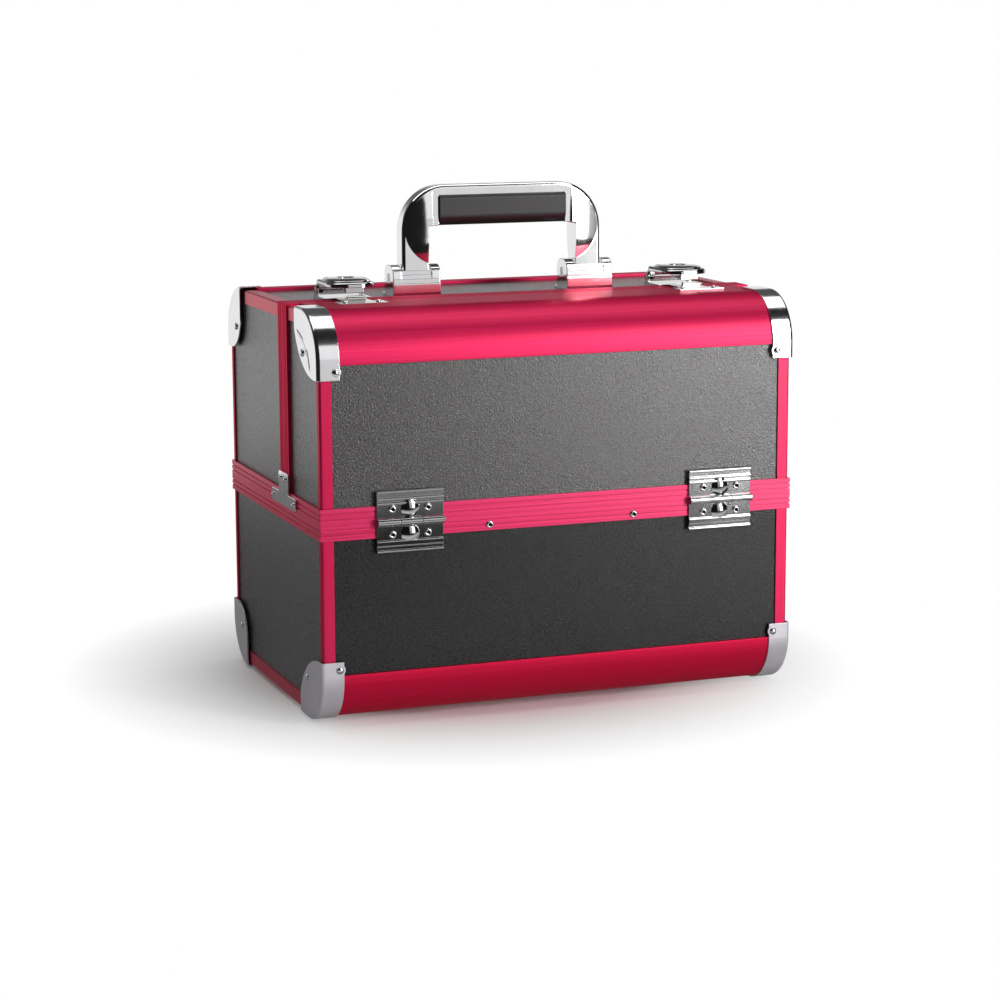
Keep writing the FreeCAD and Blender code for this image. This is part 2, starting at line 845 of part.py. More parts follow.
def lid_boards(lid, side):
    outer = "front" if side == FRONT else "back"
    node("%s_%s_panel" % (lid, outer), [
        box(lid + "_board", both("panel_x"), span(side, "inner_y", "panel_y"), ("lid_rim_z", "arc_top"))])
    end = side_outline(side, from_seam(side, "seam_rail"), "lid_rim_z", "top_in")
    pair(lid + "_side_panels", pad(lid + "_end_board", "YZ", end, "inner_x", "panel_x"))


def lid_profile(lid, side, end):
    outline = [
        (towards(side, "half_depth"), "arc_top - profile_lip"),
        (towards(side, "half_depth"), "case_height", "edge_radius"),
        (end, "case_height"),
        (end, "top_z"),
        (towards(side, "panel_y"), "top_z", "edge_radius - profile_wall"),
        (towards(side, "panel_y"), "arc_top - profile_lip"),
    ]
    node(lid + "_top_profile", [pad(lid + "_profile", "YZ", outline, *both("profile_x"))])


def lid_rim(lid, side):
    height = ("parting_height", "lid_rim_z")
    end = [
        ("half_width", towards(side, "half_depth")),
        ("half_width", "seam_y"),
        ("rail_in_x", "seam_y"),
        ("rail_in_x", towards(side, "rail_in_y")),
    ]
    across = rim_rail_across(lid + "_rim_rail", side, *height)
    side_rail = pad(lid + "_side_rail", "XY", end, *height)
    rails = [across, side_rail, mirrored(lid + "_side_rail_mirror", side_rail)]
    grooves = rim_grooves(lid + "_rim_groove", "parting_height")
    node(lid + "_rim_rails", [cut("%s_grooved" % rail.Name, rail, grooves) for rail in rails])


def seam_grooves(lid, side):
    """Two shallow grooves along the seam rails."""
    arches = []
    for third in (1, 2):
        middle = "seam_rail * %d / 3" % third
        along = seam_span(side, "%s - groove_width / 2" % middle, "%s + groove_width / 2" % middle)
        outer = box("%s_arch_out%d" % (lid, third), both("half_width + %s" % PAST), along,
                    ("parting_height", "case_height + %s" % PAST))
        inner = box("%s_arch_in%d" % (lid, third), both("half_width - groove_depth"), along,
                    ("parting_height", "case_height - groove_depth"))
        arches.append(cut("%s_arch%d" % (lid, third), outer, [inner]))
    return arches


def lid_seam(lid, side):
    along = seam_span(side, "0", "seam_rail")
    top = [
        ("-half_width", "case_height"),
        ("half_width", "case_height"),
        ("rail_in_x", "case_height - rail_depth"),
        ("-rail_in_x", "case_height - rail_depth"),
    ]
    upright = [
        ("half_width", "case_height"),
        ("half_width", "lid_rim_z"),
        ("rail_in_x", "lid_rim_z"),
        ("rail_in_x", "case_height - rail_depth"),
    ]
    top_rail = pad(lid + "_seam_top_rail", "XZ", top, *along)
    leg = pad(lid + "_seam_side_rail", "XZ", upright, *along)
    rails = [top_rail, leg, mirrored(lid + "_seam_side_rail_mirror", leg)]
    grooves = seam_grooves(lid, side)
    node(lid + "_seam_rails", [cut("%s_grooved" % rail.Name, rail, grooves) for rail in rails])


def lid_angles(lid, side):
    outline = [
        ("post_x", "top_z + post_wall", "post_round"),
        ("profile_x", "top_z + post_wall"),
        ("profile_x", "top_z"),
        ("panel_x", "top_z"),
        ("panel_x", "top_z - angle_leg"),
        ("post_x", "top_z - angle_leg"),
    ]
    if side == FRONT:
        along = ("-arc_y", from_seam(side, "seam_rail"))
    else:
        along = (from_seam(side, "seam_rail"), "arc_y - profile_flat")
    pair(lid + "_top_angles", pad(lid + "_top_angle", "XZ", outline, *along))


def lid_lining(lid, side):
    near = from_seam(side, "seam_rail")
    outer = side_outline(side, near, "lid_rim_z", "top_in")
    inner = [
        (towards(side, "inner_y - lining_wall"), "lid_rim_z - lining_wall"),
        (towards(side, "inner_y - lining_wall"), "top_in - lining_wall", "corner_in - lining_wall"),
        (from_seam(side, "seam_rail - lining_wall"), "top_in - lining_wall"),
        (from_seam(side, "seam_rail - lining_wall"), "lid_rim_z - lining_wall"),
    ]
    skin = pad(lid + "_lining_skin", "YZ", outer, *both("inner_x"))
    hollow = pad(lid + "_lining_hollow", "YZ", inner, *both("lining_x"))
    node(lid + "_lining", [cut(lid + "_lining_shell", skin, [hollow])])


def lid_seam_plates(lid, side):
    outline = [
        (from_seam(side, "seam_gap"), "parting_height + seam_gap"),
        (from_seam(side, "seam_plate_foot"), "parting_height + seam_gap", "seam_plate_toe"),
        (from_seam(side, "seam_plate_foot"), "parting_height + seam_plate_sole", "seam_plate_toe"),
        (from_seam(side, "seam_plate_leg"), "parting_height + seam_plate_sole"),
        (from_seam(side, "seam_plate_leg"), "parting_height + seam_plate_height", "seam_plate_crown"),
        (from_seam(side, "seam_gap"), "parting_height + seam_plate_height"),
    ]
    plate = pad(lid + "_seam_plate", "YZ", outline, "half_width", "half_width + seam_plate_wall")
    pair(lid + "_seam_plates", plate)


def lid_tray_pins(lid, side):
    """Studs on a lid's end walls that carry its two trays."""
    studs = []
    for level in ("low", "high"):
        centre = (towards(side, level + "_y"), level + "_z")
        stud = rod("%s_%s_stud" % (lid, level), "x", ("tray_in_x - tray_wall / 2", "lining_x"),
                   centre, "link_pin")
        studs += [stud, mirrored("%s_%s_stud_mirror" % (lid, level), stud)]
    node(lid + "_tray_pins", studs)


def lid(name, side, profile_end):
    lid_boards(name, side)
    lid_profile(name, side, profile_end)
    pair(name + "_corner_posts", corner_post(name + "_post", side, "lid_rim_z", "arc_top"))
    lid_rim(name, side)
    lid_seam(name, side)
    lid_angles(name, side)
    lid_lining(name, side)
    lid_seam_plates(name, side)
    lid_tray_pins(name, side)


def lids():
    lid("front_lid", FRONT, from_seam(FRONT, "seam_rail"))
    lid("back_lid", BACK, towards(BACK, "arc_y - profile_flat"))
    node("back_lid_top_panel", [
        box("back_lid_top_board", both("panel_x"), (from_seam(BACK, "seam_rail"), "arc_y"),
            ("top_in", "top_z"))])


# Trays and their linkage


def tray(label, side, level):
    """An open tray with rounded lower edges and pivot holes in its end walls."""
    bottom = "%s_z - tray_pivot_rise" % level
    top = "%s + tray_height" % bottom
    outside = towards(side, "tray_out_y")
    inside = from_seam(side, "tray_seam_gap")
    inward = towards(side, "tray_wall")
    outer = [
        (outside, top),
        (outside, bottom, "tray_round"),
        (inside, bottom, "tray_round"),
        (inside, top),
    ]
    floor = "%s + tray_wall" % bottom
    inner = [
        ("%s - %s" % (outside, inward), "%s + tray_wall" % top),
        ("%s - %s" % (outside, inward), floor, "tray_round - tray_wall"),
        ("%s + %s" % (inside, inward), floor, "tray_round - tray_wall"),
        ("%s + %s" % (inside, inward), "%s + tray_wall" % top),
    ]
    shell = pad(label + "_shell", "YZ", outer, *both("tray_x"))
    hollow = pad(label + "_hollow", "YZ", inner, *both("tray_in_x"))
    link = "link_front" if side == FRONT else "link_back"
    lid_hole = (towards(side, level + "_y"), level + "_z")
    arm_hole = (towards(side, "%s_y - %s" % (level, link)), "%s_z + link_rise" % level)
    tools = [hollow]
    for i, hole in enumerate((lid_hole, arm_hole)):
        tools.append(rod("%s_hole%d" % (label, i), "x", both("tray_x + %s" % PAST), hole, "link_hole"))
    node(label, [cut(label, shell, tools)])


def trays():
    for side, name in ((FRONT, "front"), (BACK, "back")):
        tray(name + "_lower_tray", side, "low")
        tray(name + "_upper_tray", side, "high")


def linkage_arm(label, side, link):
    """Straight bar from its pivot on the base past both trays, with a stud for each."""
    def on_bar(level):
        return towards(side, "%s_y - %s" % (level, link)), "%s_z + link_rise" % level

    pivot = (towards(side, "hinge_y - %s" % link), "arm_z")
    layer = ("arm_in", "arm_out")
    bar = doc.addObject("Part::Box", label + "_bar")
    bind(bar, "Length", "arm_out - arm_in")
    bind(bar, "Width", "2 * arm_half")
    bind(bar, "Height", "crank_high")
    bar.Placement = FreeCAD.Placement(Vector(), FreeCAD.Rotation(X_AXIS, side * value("lean")))
    across = "arm_half * cos(lean * 1deg)"
    drop = "arm_half * sin(lean * 1deg)"
    place(bar, "arm_in", "%s - %s" % (pivot[0], across), "%s - %d * %s" % (pivot[1], side, drop))
    pieces = [bar, rod(label + "_root", "x", layer, pivot, "arm_half")]
    pieces.append(rod(label + "_tip", "x", layer, on_bar("high"), "arm_half"))
    for level in ("low", "high"):
        pieces.append(rod("%s_%s_stud" % (label, level), "x", ("tray_in_x", "arm_in"),
                          on_bar(level), "link_pin"))
    hole = rod(label + "_hole", "x", ("arm_in - %s" % PAST, "arm_out + %s" % PAST), pivot, "link_hole")
    return cut(label, fuse(label + "_solid", pieces), [hole])


def arm_bracket(name, side, link):
    """Ear on the base rim with the stud that an arm turns on."""
    middle = towards(side, "hinge_y - %s" % link)
    low = "base_rim_z"
    top = "arm_z + bracket_half"
    outline = [
        ("%s - bracket_half" % middle, low),
        ("%s + bracket_half" % middle, low),
        ("%s + bracket_half" % middle, top, "bracket_crown"),
        ("%s - bracket_half" % middle, top, "bracket_crown"),
    ]
    ear = pad(name + "_ear", "YZ", outline, "rail_in_x - bracket_wall", "rail_in_x")
    stud = rod(name + "_stud", "x", ("arm_in", "rail_in_x - bracket_wall"), (middle, "arm_z"), "link_pin")
    return fuse(name, [ear, stud])


def linkage():
    brackets = []
    for side, name, link in ((FRONT, "front", "link_front"), (BACK, "back", "link_back")):
        arm = linkage_arm(name + "_arm", side, link)
        pair(name + "_arms", arm)
        bracket = arm_bracket(name + "_arm_bracket", side, link)
        brackets += [bracket, mirrored(name + "_arm_bracket_mirror", bracket)]
    node("base_arm_brackets", brackets)


# The handle


def to_left(part):
    """Move a finished piece of the handle to where the handle sits, a little left of the middle."""
    bind(part, "Placement.Base.x", "-handle_left")


def leg_dome(name, side):
    """Shallow round swelling on one face of the right leg, up to the corner of the bow."""
    outer = "handle_half - handle_edge"
    top = "handle_top - handle_edge"
    outline = [
        ("leg_in", "handle_pivot"),
        (outer, "handle_pivot"),
        (outer, top, "handle_corner - handle_edge"),
        ("leg_in - dome_lap", top),
        ("leg_in - dome_lap", "grip_z"),
        ("leg_in", "grip_z"),
    ]
    face = "handle_y + %d * dome_reach" % side
    depth = (face, "handle_y") if side == FRONT else ("handle_y", face)
    column = pad(name + "_column", "XZ", outline, *depth)
    ball = doc.addObject("Part::Sphere", name + "_ball")
    bind(ball, "Radius", "dome_ball")
    place(ball, "dome_x", "%s - %d * dome_ball" % (face, side), "handle_top - dome_drop")
    dome = doc.addObject("Part::MultiCommon", name)
    dome.Shapes = [column, ball]
    return dome


def handle_frame():
    outline = [
        ("-handle_half", "handle_pivot"),
        ("-leg_in", "handle_pivot"),
        ("-leg_in", "grip_z", "handle_inner_round"),
        ("-grip_x", "grip_z"),
        ("-grip_x", "band_z"),
        ("grip_x", "band_z"),
        ("grip_x", "grip_z"),
        ("leg_in", "grip_z", "handle_inner_round"),
        ("leg_in", "handle_pivot"),
        ("handle_half", "handle_pivot"),
        ("handle_half", "handle_top", "handle_corner"),
        ("-handle_half", "handle_top", "handle_corner"),
    ]
    arch = pad("handle_arch", "XZ", outline, "leg_front", "leg_back")
    outer_x = value("handle_half")
    corner_x = value("handle_half - handle_corner")
    corner_z = value("handle_top - handle_corner")
    top = value("handle_top")

    def on_outline(edge):
        """Whether an edge of the front or back face follows the outer outline."""
        middle = edge.valueAt((edge.FirstParameter + edge.LastParameter) / 2)
        on_face = min(abs(middle.y - value(face)) for face in ("leg_front", "leg_back")) < NEAR
        if not on_face or middle.z < value("handle_pivot") + NEAR:
            return False
        reach = math.hypot(abs(middle.x) - corner_x, middle.z - corner_z)
        on_corner = abs(reach - value("handle_corner")) < NEAR and abs(middle.x) > corner_x
        return on_corner or abs(abs(middle.x) - outer_x) < NEAR or abs(middle.z - top) < NEAR

    soften(arch, "handle_edge", on_outline)
    pieces = [arch]
    for side, name in ((FRONT, "front"), (BACK, "back")):
        dome = leg_dome("handle_%s_dome" % name, side)
        pieces += [dome, mirrored("handle_%s_dome_mirror" % name, dome)]
    pivot = ("handle_y", "handle_pivot")
    for i, ends in enumerate((("-handle_half", "-leg_in"), ("leg_in", "handle_half"))):
        pieces.append(rod("handle_eye%d" % i, "x", ends, pivot, "handle_depth / 2"))
    bore = rod("handle_eye_bore", "x", both("handle_half + %s" % PAST), pivot, "handle_bore")
    to_left(node("handle_frame", [cut("handle_frame", fuse("handle_frame_solid", pieces), [bore])]))


def handle_grip():
    low = "handle_y - grip_half"
    high = "handle_y + grip_half"
    outline = [
        (low, "band_z", "grip_top_round"),
        (low, "grip_z", "grip_round"),
        (high, "grip_z", "grip_round"),
        (high, "band_z", "grip_top_round"),
    ]
    to_left(node("handle_grip", [pad("handle_grip", "YZ", outline, *both("grip_x"))]))


def handle_bracket():
    """Right bracket: a plate on the lid, two rounded ears and a stepped web that stops the leg."""
    width = ("ear_in - ear_wall", "ear_out + ear_wall")
    plate_y = ("handle_y - bracket_front", "handle_y + bracket_back")
    crown = "handle_pivot + ear_rise"
    ear = [
        ("web_y - web_wall - web_step * web_steps", "bracket_top"),
        ("handle_y + ear_half", "bracket_top"),
        ("handle_y + ear_half", crown, "ear_crown"),
        ("handle_y - ear_half", crown, "ear_crown"),
    ]
    pieces = [
        box("handle_bracket_plate", width, plate_y, ("top_z", "bracket_top")),
        box("handle_bracket_sill", width, ("handle_y - bracket_front", "web_y"),
            ("bracket_top", "bracket_top + bracket_sill")),
        pad("handle_ear_inner", "YZ", ear, "ear_in - ear_wall", "ear_in"),
        pad("handle_ear_outer", "YZ", ear, "ear_out", "ear_out + ear_wall"),
    ]
    for i in range(int(value("web_steps")) + 1):
        front = "web_y - web_wall - web_step * %d" % i
        top = "bracket_top + web_rise - (web_rise - bracket_sill) * %d / (web_steps + 1)" % i
        pieces.append(box("handle_web%d" % i, width, (front, "web_y"), ("bracket_top", top)))
    bore = rod("handle_ear_bore", "x", width, ("handle_y", "handle_pivot"), "handle_bore")
    return cut("handle_bracket", fuse("handle_bracket_solid", pieces), [bore])


def handle():
    handle_frame()
    handle_grip()
    to_left(pair("handle_brackets", handle_bracket()))
    pin = rod("handle_pin_right", "x", ("ear_in - ear_wall", "ear_out + ear_wall"),
              ("handle_y", "handle_pivot"), "handle_pin")
    to_left(pair("handle_pins", pin))


# The latches


def about_latch(half):
    return "latch_x - (%s)" % half, "latch_x + (%s)" % half


def latch_base():
    """Base on the back lid: a plate, a block behind the seam rail and two cheeks."""
    plate_top = "case_height + latch_plate"
    pieces = [
        box("latch_base_plate", about_latch("latch_half"), seam_span(BACK, "latch_plate_gap", "latch_back"),
            ("case_height", plate_top)),
        box("latch_base_block", about_latch("latch_half"), seam_span(BACK, "seam_rail", "latch_back"),
            ("top_z", "case_height")),
    ]
    cheeks = (
        ("latch_x - latch_half", "latch_x - latch_half + cheek_wall"),
        ("latch_x + latch_half - cheek_wall", "latch_x + latch_half"),
    )
    line = ("latch_pin_y", "latch_pin_z")
    about_pin = ("latch_pin_y - cheek_half", "latch_pin_y + cheek_half")
    for i, ends in enumerate(cheeks):
        pieces.append(rod("latch_cheek_eye%d" % i, "x", ends, line, "cheek_half"))
        pieces.append(box("latch_cheek%d" % i, ends, about_pin, (plate_top, "latch_pin_z")))
    bore = rod("latch_cheek_bore", "x", about_latch("latch_half + %s" % PAST), line, "latch_bore")
    return cut("latch_base", fuse("latch_base_solid", pieces), [bore])


def latch_lever():
    """Oval lever with lugs on the pin, a claw at its front and a bore for the lock."""
    low_y = "seam_y - lever_reach"
    high_y = "latch_pin_y + cheek_half"
    low_x, high_x = about_latch("latch_half")
    outline = [
        (low_x, low_y, "lever_round"),
        (high_x, low_y, "lever_round"),
        (high_x, high_y, "lever_tail_round"),
        (low_x, high_y, "lever_tail_round"),
    ]
    top = pad("latch_lever_top", "XY", outline, "lever_z", "lever_top")
    top_height = value("lever_top")

    def on_top(edge):
        return all(abs(corner.Z - top_height) < NEAR for corner in edge.Vertexes)

    soften(top, "lever_edge", on_top)
    pieces = [top]
    inner = "latch_half - cheek_wall - lug_gap"
    lugs = (
        ("latch_x - (%s)" % inner, "latch_x - (%s) + lug_wall" % inner),
        ("latch_x + %s - lug_wall" % inner, "latch_x + %s" % inner),
    )
    line = ("latch_pin_y", "latch_pin_z")
    about_pin = ("latch_pin_y - cheek_half", "latch_pin_y + cheek_half")
    for i, ends in enumerate(lugs):
        pieces.append(rod("lever_lug_eye%d" % i, "x", ends, line, "cheek_half"))
        pieces.append(box("lever_lug%d" % i, ends, about_pin, ("latch_pin_z", "lever_z")))
    claw_y = (low_y + " + claw_setback", low_y + " + claw_setback + claw_wall")
    pieces.append(box("lever_claw", about_latch("claw_half"), claw_y, ("lever_z - claw_drop", "lever_z")))
    tools = [
        rod("lever_bore", "x", about_latch("latch_half + %s" % PAST), line, "latch_bore"),
        rod("lock_bore", "z", ("lever_z - %s" % PAST, "lever_top + %s" % PAST), ("latch_x", "lock_y"),
            "lock_bore"),
    ]
    return cut("latch_lever", fuse("latch_lever_solid", pieces), tools)


def lock_cylinder():
    """Key cylinder that fills the bore of a lever, with a key slot on top."""
    barrel = rod("lock_barrel", "z", ("lever_z - lock_rise", "lever_top + lock_rise"),
                 ("latch_x", "lock_y"), "lock_radius")
    slot = box("lock_slot", about_latch("keyhole_width / 2"),
               ("lock_y - keyhole_length / 2", "lock_y + keyhole_length / 2"),
               ("lever_top + lock_rise - keyhole_depth", "lever_top + lock_rise + %s" % PAST))
    return cut("lock_cylinder", barrel, [slot])


def latch_keeper():
    """Keeper on the front lid: a plate with a wing and the bar that the claw hooks."""
    plate_z = ("case_height", "case_height + latch_plate")
    hook_line = (from_seam(FRONT, "keeper_hook_front"), "case_height + latch_plate + keeper_hook / 2")
    pieces = [
        box("keeper_plate", about_latch("keeper_half"), seam_span(FRONT, "latch_plate_gap", "keeper_front"),
            plate_z),
        box("keeper_wings", about_latch("latch_half"),
            seam_span(FRONT, "keeper_front - keeper_wing", "keeper_front"), plate_z),
        rod("keeper_bar", "x", about_latch("claw_half"), hook_line, "keeper_hook"),
    ]
    solid = fuse("latch_keeper_solid", pieces)
    under = box("keeper_trim", about_latch("latch_half"), seam_span(FRONT, "0", "keeper_front"),
                ("case_height - 2 * keeper_hook", "case_height"))
    return cut("latch_keeper", solid, [under])


def latches():
    pair("latch_keepers", latch_keeper())
    pair("latch_bases", latch_base())
    pin = rod("latch_pin_right", "x", about_latch("latch_half"), ("latch_pin_y", "latch_pin_z"), "latch_pin")
    pair("latch_pins", pin)
    lever = latch_lever()
    cylinder = lock_cylinder()
    node("left_latch_lever", [mirrored("left_latch_lever", lever)])
    node("left_lock_cylinder", [mirrored("left_lock_cylinder", cylinder)])
    node("right_latch_lever", [lever])
    node("right_lock_cylinder", [cylinder])


# Rivets


def both_ends(pieces):
    return pieces + [mirrored(piece.Name + "_mirror", piece) for piece in pieces]


def cap_rivets(name, side, turned_down):
    """A rivet in the ear and one in the end lobe of a cap, on the right."""
    heights = [EAR_Z, "case_height - lobe_rivet_drop"]
    if turned_down:
        heights = ["case_height + foot_height - (%s)" % height for height in heights]
    direction = "-y" if side == FRONT else "+y"
    lobe = "front_lobe_rivet" if side == FRONT else "back_lobe_rivet"
    return [
        rivet(name + "_ear", direction, EAR_X, towards(side, "half_depth + cap_wall"), heights[0]),
        rivet(name + "_lobe", "+x", "half_width + cap_wall", towards(side, "half_depth - " + lobe),
              heights[1]),
    ]


def hinge_rivets(name, side, up):
    direction = "-y" if side == FRONT else "+y"
    heads = []
    for hand, x in HINGES:
        for step in (-1, 1):
            heads.append(rivet("%s_%s" % (name, hand), direction, "%s + %d * hinge_rivet_x" % (x, step),
                               towards(side, "leaf_y"), "parting_height + %d * hinge_rivet_z" % up))
    return heads


def seam_plate_rivets(name, side):
    face = "half_width + seam_plate_wall"
    return [
        rivet(name + "_leg", "+x", face, from_seam(side, "seam_plate_leg / 2"),
              "parting_height + seam_plate_height - plate_rivet_inset", small=True),
        rivet(name + "_foot", "+x", face, from_seam(side, "seam_plate_foot - plate_rivet_inset"),
              "parting_height + seam_plate_sole / 2", small=True),
    ]


def keeper_rivets():
    return [
        rivet("keeper_rivet%d" % i, "+z", x, from_seam(FRONT, "keeper_front - keeper_wing / 2"),
              "case_height + latch_plate", small=True)
        for i, x in enumerate(about_latch("keeper_rivet_x"))
    ]


def bracket_rivets():
    """Two rivets through the back of each handle bracket."""
    back = "handle_y + bracket_back - bracket_rivet_inset"
    return [
        rivet("bracket_rivet%d" % i, "+z", "%s - handle_left" % x, back, "bracket_top", small=True)
        for i, x in enumerate(("ear_in", "ear_out", "-ear_in", "-ear_out"))
    ]


def rivets():
    base_heads = []
    for side, name in ((FRONT, "front"), (BACK, "back")):
        base_heads += both_ends(cap_rivets("base_%s_cap_rivet" % name, side, True))
        base_heads += hinge_rivets("base_%s_hinge_rivet" % name, side, -1)
        direction = "-y" if side == FRONT else "+y"
        base_heads += both_ends([rivet("rim_rivet_" + name, direction, "rim_rivet_x",
                                       towards(side, "half_depth"), "base_rim_z + rim_rivet_rise")])
        lid_heads = both_ends(cap_rivets("%s_lid_cap_rivet" % name, side, False))
        lid_heads += hinge_rivets("%s_lid_hinge_rivet" % name, side, 1)
        lid_heads += both_ends(seam_plate_rivets("%s_lid_plate_rivet" % name, side))
        lid_heads += both_ends(keeper_rivets()) if side == FRONT else bracket_rivets()
        node("%s_lid_rivets" % name, lid_heads)
    node("base_rivets", base_heads)


def build():
    fill_sheet()
    base_panels()
    base_profiles()
    base_posts()
    base_rails()
    base_angles()
    base_lining()
    feet()
    corner_caps()
    hinges()
    lids()
    trays()
    linkage()
    handle()
    latches()
    rivets()
    doc.recompute()


def check():
    """Stop if any object failed or a finished sub-part has no sound shape."""
    for one in doc.Objects:
        if "Invalid" in one.State or "Error" in one.State:
            raise RuntimeError("failed object: %s" % one.Label)
    for part in nodes:
        if part.Shape.isNull() or not part.Shape.isValid():
            raise RuntimeError("unsound shape: %s" % part.Label)


def write():
    os.makedirs("parts", exist_ok=True)
    for part in nodes:
        part.Shape.exportStep("parts/%s.step" % part.Label)


build()
check()
write()
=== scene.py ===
import json
import math

import bmesh
import bpy
from mathutils import Matrix, Vector


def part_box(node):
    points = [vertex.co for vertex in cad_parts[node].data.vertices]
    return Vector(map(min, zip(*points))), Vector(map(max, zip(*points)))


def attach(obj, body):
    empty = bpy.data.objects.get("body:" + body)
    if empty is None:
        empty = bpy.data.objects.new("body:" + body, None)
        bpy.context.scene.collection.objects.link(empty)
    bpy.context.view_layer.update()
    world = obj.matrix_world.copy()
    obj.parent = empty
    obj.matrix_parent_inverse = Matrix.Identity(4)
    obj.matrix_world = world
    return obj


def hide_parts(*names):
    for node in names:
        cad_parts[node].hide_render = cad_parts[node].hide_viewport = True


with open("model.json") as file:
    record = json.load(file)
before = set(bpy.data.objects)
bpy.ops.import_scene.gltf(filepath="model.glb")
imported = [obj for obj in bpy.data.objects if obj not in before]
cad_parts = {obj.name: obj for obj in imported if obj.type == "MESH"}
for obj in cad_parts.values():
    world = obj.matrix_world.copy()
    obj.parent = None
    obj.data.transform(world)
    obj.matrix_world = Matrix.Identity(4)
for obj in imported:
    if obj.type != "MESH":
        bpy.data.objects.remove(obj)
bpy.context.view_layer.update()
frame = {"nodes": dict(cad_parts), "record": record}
scene = bpy.context.scene


# Node helpers

RANGE_SOCKETS = ("From Min", "From Max", "To Min", "To Max")
BEVEL_SAMPLES = 8
WHITE = (1, 1, 1, 1)


class Nodes:
    """A node tree, filled from empty."""

    def __init__(self, tree):
        self.tree = tree
        tree.nodes.clear()

    def add(self, kind, **inputs):
        node = self.tree.nodes.new(kind)
        for socket, value in inputs.items():
            node.inputs[socket.replace("_", " ")].default_value = value
        return node

    def link(self, source, target):
        self.tree.links.new(source, target)

    def spread(self, value, low, high, to_low, to_high, smooth=False):
        """A value between low and high, mapped to another range."""
        node = self.add("ShaderNodeMapRange")
        if smooth:
            node.interpolation_type = "SMOOTHSTEP"
        for socket, number in zip(RANGE_SOCKETS, (low, high, to_low, to_high)):
            node.inputs[socket].default_value = number
        self.link(value, node.inputs["Value"])
        return node.outputs["Result"]

    def math(self, operation, first, second):
        node = self.add("ShaderNodeMath")
        node.operation = operation
        for socket, value in zip(node.inputs, (first, second)):
            if isinstance(value, (int, float)):
                socket.default_value = value
            else:
                self.link(value, socket)
        return node.outputs["Value"]

    def mix(self, factor, first, second):
        """The first shader at factor 0, the second at 1."""
        node = self.add("ShaderNodeMixShader")
        for socket, value in zip(node.inputs, (factor, first, second)):
            self.link(value, socket)
        return node.outputs["Shader"]


class Shader(Nodes):
    """One node material around a Principled shader."""

    def __init__(self, name, **values):
        self.material = bpy.data.materials.new(name)
        self.material.use_nodes = True
        super().__init__(self.material.node_tree)
        self.output = self.add("ShaderNodeOutputMaterial")
        self.main = self.add("ShaderNodeBsdfPrincipled", **values)
        self.link(self.main.outputs["BSDF"], self.output.inputs["Surface"])

    def noise(self, scale, detail=3.0, roughness=0.5):
        """Noise in the object's own metres, with a scale per axis."""
        where = self.add("ShaderNodeTexCoord")
        mapping = self.add("ShaderNodeMapping", Scale=scale)
        texture = self.add("ShaderNodeTexNoise", Scale=1.0, Detail=detail, Roughness=roughness)
        self.link(where.outputs["Object"], mapping.inputs["Vector"])
        self.link(mapping.outputs["Vector"], texture.inputs["Vector"])
        return texture.outputs["Fac"]

    def colour(self, value, low, dark, high, light):
        """Base colour from dark at the low value to light at the high one."""
        node = self.add("ShaderNodeValToRGB")
        for point, at, tone in zip(node.color_ramp.elements, (low, high), (dark, light)):
            point.position = at
            point.color = (*tone, 1)
        self.link(value, node.inputs["Fac"])
        self.link(node.outputs["Color"], self.main.inputs["Base Color"])

    def rough(self, value, low, high):
        self.link(self.spread(value, 0, 1, low, high), self.main.inputs["Roughness"])

    def bump(self, height, strength, distance, edge=None):
        """Relief from a height; edge adds a small rounding where faces meet."""
        node = self.add("ShaderNodeBump", Strength=strength, Distance=distance)
        self.link(height, node.inputs["Height"])
        if edge:
            self.link(self.round_edge(edge), node.inputs["Normal"])
        self.link(node.outputs["Normal"], self.main.inputs["Normal"])

    def round_edge(self, radius):
        node = self.add("ShaderNodeBevel", Radius=radius)
        node.samples = BEVEL_SAMPLES
        return node.outputs["Normal"]

    def edge(self, radius):
        self.link(self.round_edge(radius), self.main.inputs["Normal"])


# Materials

RED_TINT = (0.92, 0.20, 0.32, 1)
FOIL_DARK = (0.001, 0.001, 0.001)
SMUDGE_SHADE = 0.94
GROOVE_SHADE = 0.8
PILE_SHARE = 0.6


def even(scale):
    return (scale, scale, scale)


def shaded(colour, share):
    return tuple(share * one for one in colour)


def red_metal(name, stretch, dark, light, coat, metal=0.88):
    """Brushed red anodised aluminium; stretch is high across the brushing."""
    made = Shader(name, Metallic=metal, Coat_Weight=coat, Coat_Roughness=0.28, Specular_Tint=RED_TINT)
    lines = made.noise(stretch, detail=4.0, roughness=0.7)
    made.colour(lines, 0.25, dark, 0.75, light)
    made.rough(lines, low=0.42, high=0.54)
    made.bump(lines, strength=0.12, distance=0.0001, edge=0.0005)
    return made.material


def panel_board(name, shine, light):
    """Dark board with a fine pebbled foil face; its light specks are partly the grain's tone and partly
    painted highlights on the pebbles.
    """
    made = Shader(name, Specular_IOR_Level=shine)
    grain_and_glint = made.noise(even(1000), detail=1.0, roughness=0.6)
    pebble = made.noise(even(1500), detail=0.5, roughness=0.6)
    # light specks: grain tone, and partly painted highlights of the pebbles
    made.colour(grain_and_glint, 0.42, FOIL_DARK, 0.62, light)
    made.rough(grain_and_glint, low=0.34, high=0.18)
    made.bump(pebble, strength=0.45, distance=0.0004)
    return made.material


def polished(name, base, rough, edge, metal=1.0):
    """Plated metal with faint smudges."""
    made = Shader(name, Metallic=metal)
    smudge = made.noise(even(60))
    made.colour(smudge, 0.3, shaded(base, SMUDGE_SHADE), 0.7, base)
    made.rough(smudge, *rough)
    made.edge(edge)
    return made.material


def turned(name, base, scale):
    """Bare metal with fine tool marks."""
    made = Shader(name, Metallic=1.0)
    lines = made.noise(even(scale))
    made.colour(lines, 0.3, shaded(base, GROOVE_SHADE), 0.7, base)
    made.rough(lines, low=0.22, high=0.38)
    made.bump(lines, strength=0.1, distance=0.0001, edge=0.0003)
    return made.material


